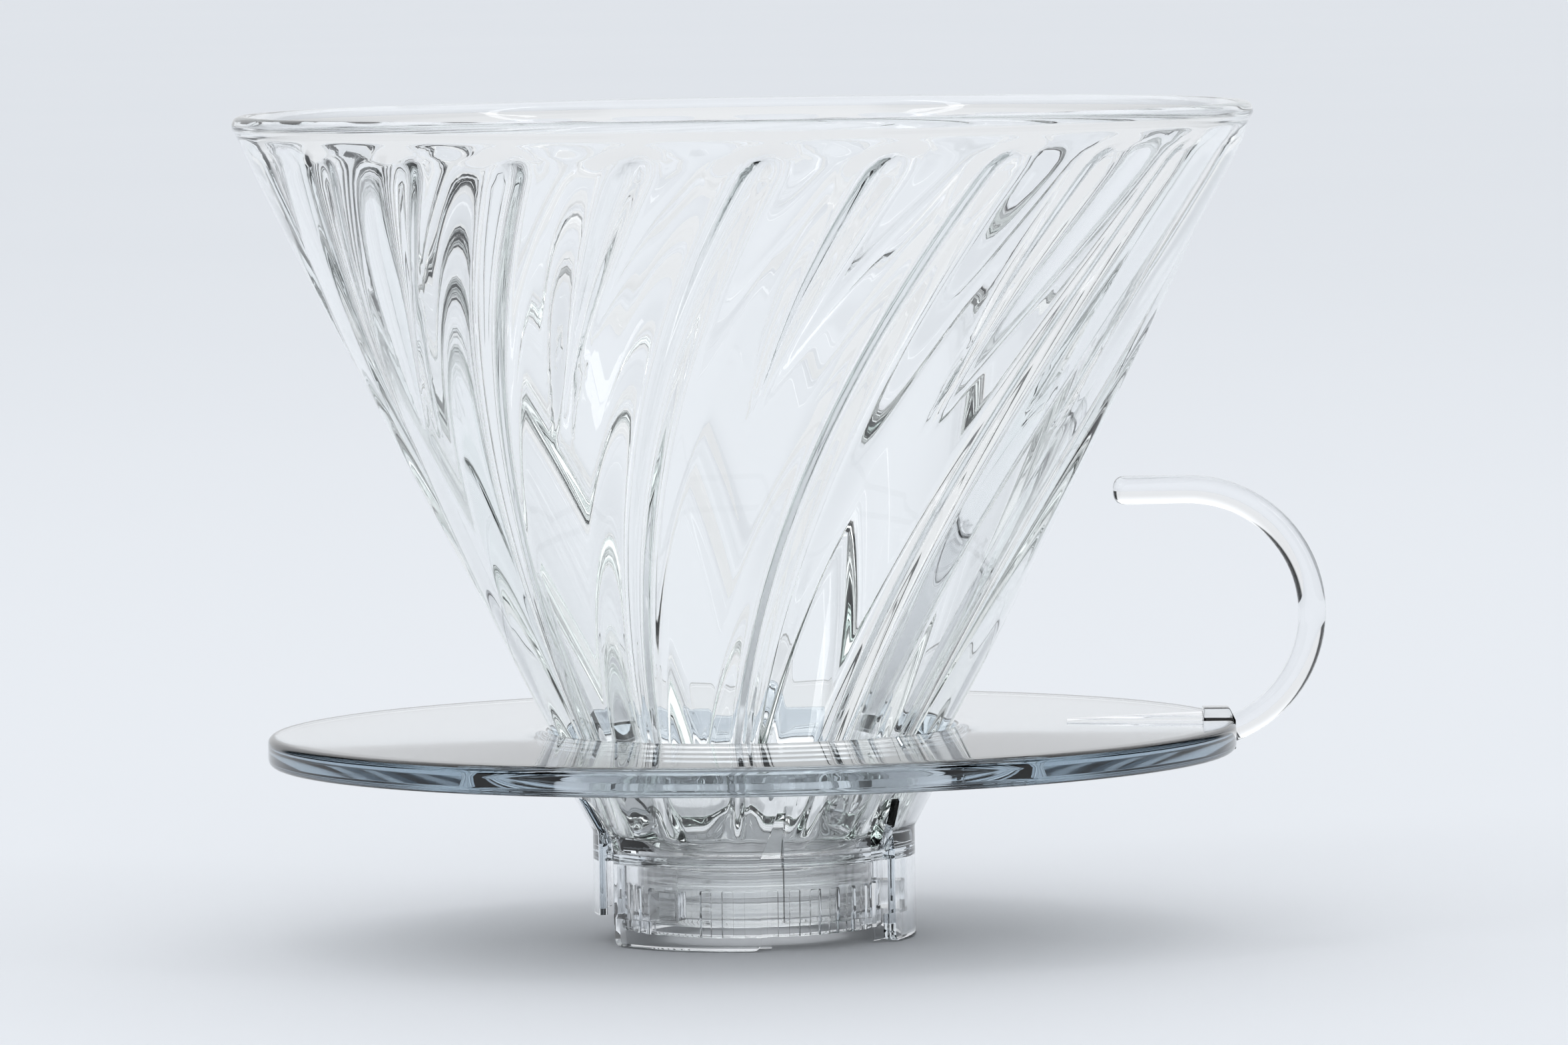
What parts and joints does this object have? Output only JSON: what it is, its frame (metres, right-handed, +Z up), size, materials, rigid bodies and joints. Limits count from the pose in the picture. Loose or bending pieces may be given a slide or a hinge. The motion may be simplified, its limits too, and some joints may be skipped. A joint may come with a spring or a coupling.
{
  "type": "pour over dripper",
  "caption": "Clear pour over coffee dripper: spiral ribbed glass cone with a rolled lip in a round resin plate with a hook handle and a slotted skirt on three legs.",
  "frame": {"origin": "middle of the outlet at the lower end of the glass tip", "axes": "+Z up the cone's axis, +X towards the handle"},
  "size_m": [0.1236, 0.116, 0.0944],
  "materials": {
    "glass": "clear heatproof glass, glossy",
    "plate_resin": "clear moulded resin with a blue-grey tint, glossy",
    "handle_resin": "clear moulded resin, glossy",
    "ring_resin": "clear moulded resin, glossy",
    "silicone": "translucent silicone, satin"
  },
  "bodies": {
    "holder": {"base_plate": "plate_resin", "handle": "handle_resin"},
    "cone": {"glass_cone": "glass"},
    "ring": {"lock_ring": "ring_resin", "packing": "silicone"}
  },
  "joints": [
    {"name": "cone_lift", "type": "slide", "parent": "holder", "child": "cone", "axis": [0, 0, 1], "range_m": [0, 0.04]},
    {"name": "ring_turn", "type": "hinge", "parent": "holder", "child": "ring", "pos_m": [0, 0, 0.003], "axis": [0, 0, -1], "range_deg": [0, 50]}
  ]
}
